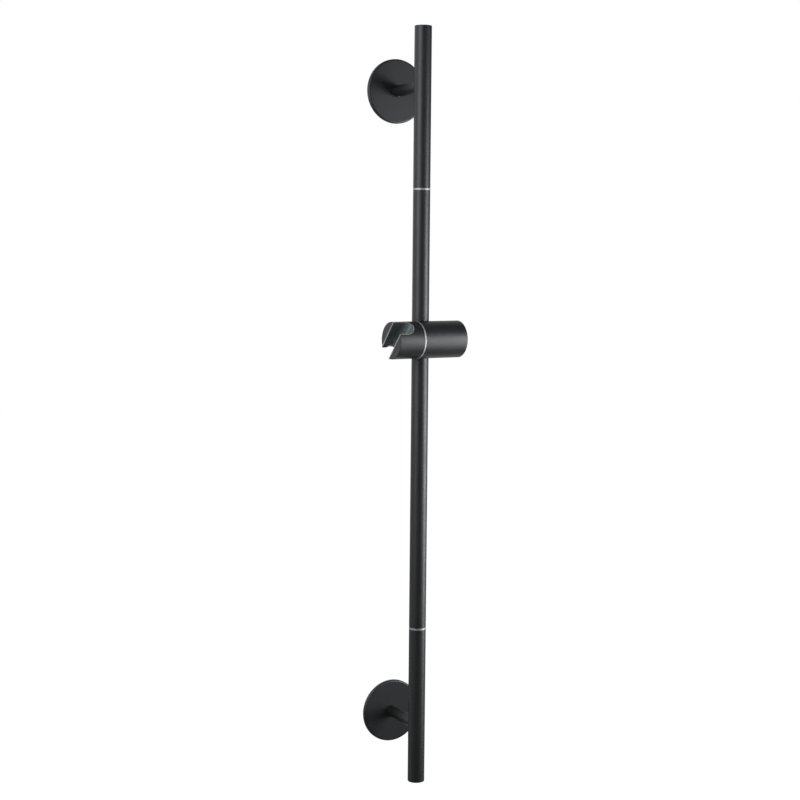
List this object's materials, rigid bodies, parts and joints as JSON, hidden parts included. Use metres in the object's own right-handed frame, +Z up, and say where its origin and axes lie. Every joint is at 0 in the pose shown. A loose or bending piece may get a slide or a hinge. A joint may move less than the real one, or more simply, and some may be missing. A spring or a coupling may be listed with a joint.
{
  "type": "shower slide rail",
  "caption": "Matte black wall-mounted shower rail: jointed round tube on posts with round wall covers, and a push-button slider carrying a tilting handset holder.",
  "frame": {"origin": "on the wall plane, midway between the two wall brackets", "axes": "+Z up along the rail, +Y into the wall, +X to the right for a person facing the wall"},
  "size_m": [0.0861, 0.0903, 0.8],
  "materials": {
    "black_coat": "matte black powder coat",
    "bright_steel": "polished bright metal",
    "zinc_steel": "plain zinc-plated steel",
    "brass": "turned brass",
    "black_plastic": "black moulded plastic",
    "liner_plastic": "dark grey moulded plastic",
    "spring_steel": "drawn spring wire"
  },
  "bodies": {
    "rail": {"upper_tube": "black_coat", "middle_tube": "black_coat", "lower_tube": "black_coat", "upper_coupler": "bright_steel", "lower_coupler": "bright_steel", "upper_tube_insert": "brass", "middle_top_insert": "brass", "middle_bottom_insert": "brass", "lower_tube_insert": "brass", "top_end_plug": "black_plastic", "bottom_end_plug": "black_plastic", "upper_wall_plate": "zinc_steel", "upper_post": "black_coat", "upper_saddle_nut": "brass", "upper_post_bolt": "zinc_steel", "upper_grub_screw": "zinc_steel", "lower_wall_plate": "zinc_steel", "lower_post": "black_coat", "lower_saddle_nut": "brass", "lower_post_bolt": "zinc_steel", "lower_grub_screw": "zinc_steel"},
    "upper_cover": {"upper_cover": "black_coat"},
    "lower_cover": {"lower_cover": "black_coat"},
    "carriage": {"brake_collar": "black_plastic"},
    "slider": {"slider_body": "black_coat", "trim_ring": "bright_steel", "button_bezel": "black_coat", "button_spring": "spring_steel", "pivot_screw": "zinc_steel", "pivot_washer": "zinc_steel"},
    "holder": {"holder": "black_coat", "holder_liner": "liner_plastic"},
    "button": {"button_cap": "black_coat", "wedge_arm": "zinc_steel"},
    "brake_shoe": {"brake_shoe": "black_plastic"}
  },
  "joints": [
    {"name": "upper_cover_slide", "type": "slide", "parent": "rail", "child": "upper_cover", "axis": [0, 1, 0], "range_m": [-0.045, 0]},
    {"name": "lower_cover_slide", "type": "slide", "parent": "rail", "child": "lower_cover", "axis": [0, -1, 0], "range_m": [0, 0.045]},
    {"name": "slider_height", "type": "slide", "parent": "rail", "child": "carriage", "axis": [0, 0, 1], "range_m": [-0.387, 0.235]},
    {"name": "slider_swivel", "type": "hinge", "parent": "carriage", "child": "slider", "pos_m": [0, -0.06, 0.076], "axis": [0, 0, 1], "continuous": true},
    {"name": "holder_tilt", "type": "hinge", "parent": "slider", "child": "holder", "pos_m": [0.00049, -0.06849, 0.076], "axis": [0.9983, 0.0576, 0], "continuous": true},
    {"name": "button_press", "type": "slide", "parent": "slider", "child": "button", "axis": [-0.9983, -0.0576, 0], "range_m": [0, 0.0025], "stiffness_N_per_m": 900, "springref_m": -0.006, "deforming": ["button_spring"]},
    {"name": "brake_release", "type": "slide", "parent": "slider", "child": "brake_shoe", "axis": [0.0576, -0.9983, 0], "range_m": [0, 0.00068]}
  ],
  "couplings": [
    {"joint": "brake_release", "follows": "button_press", "ratio": 0.26795}
  ]
}
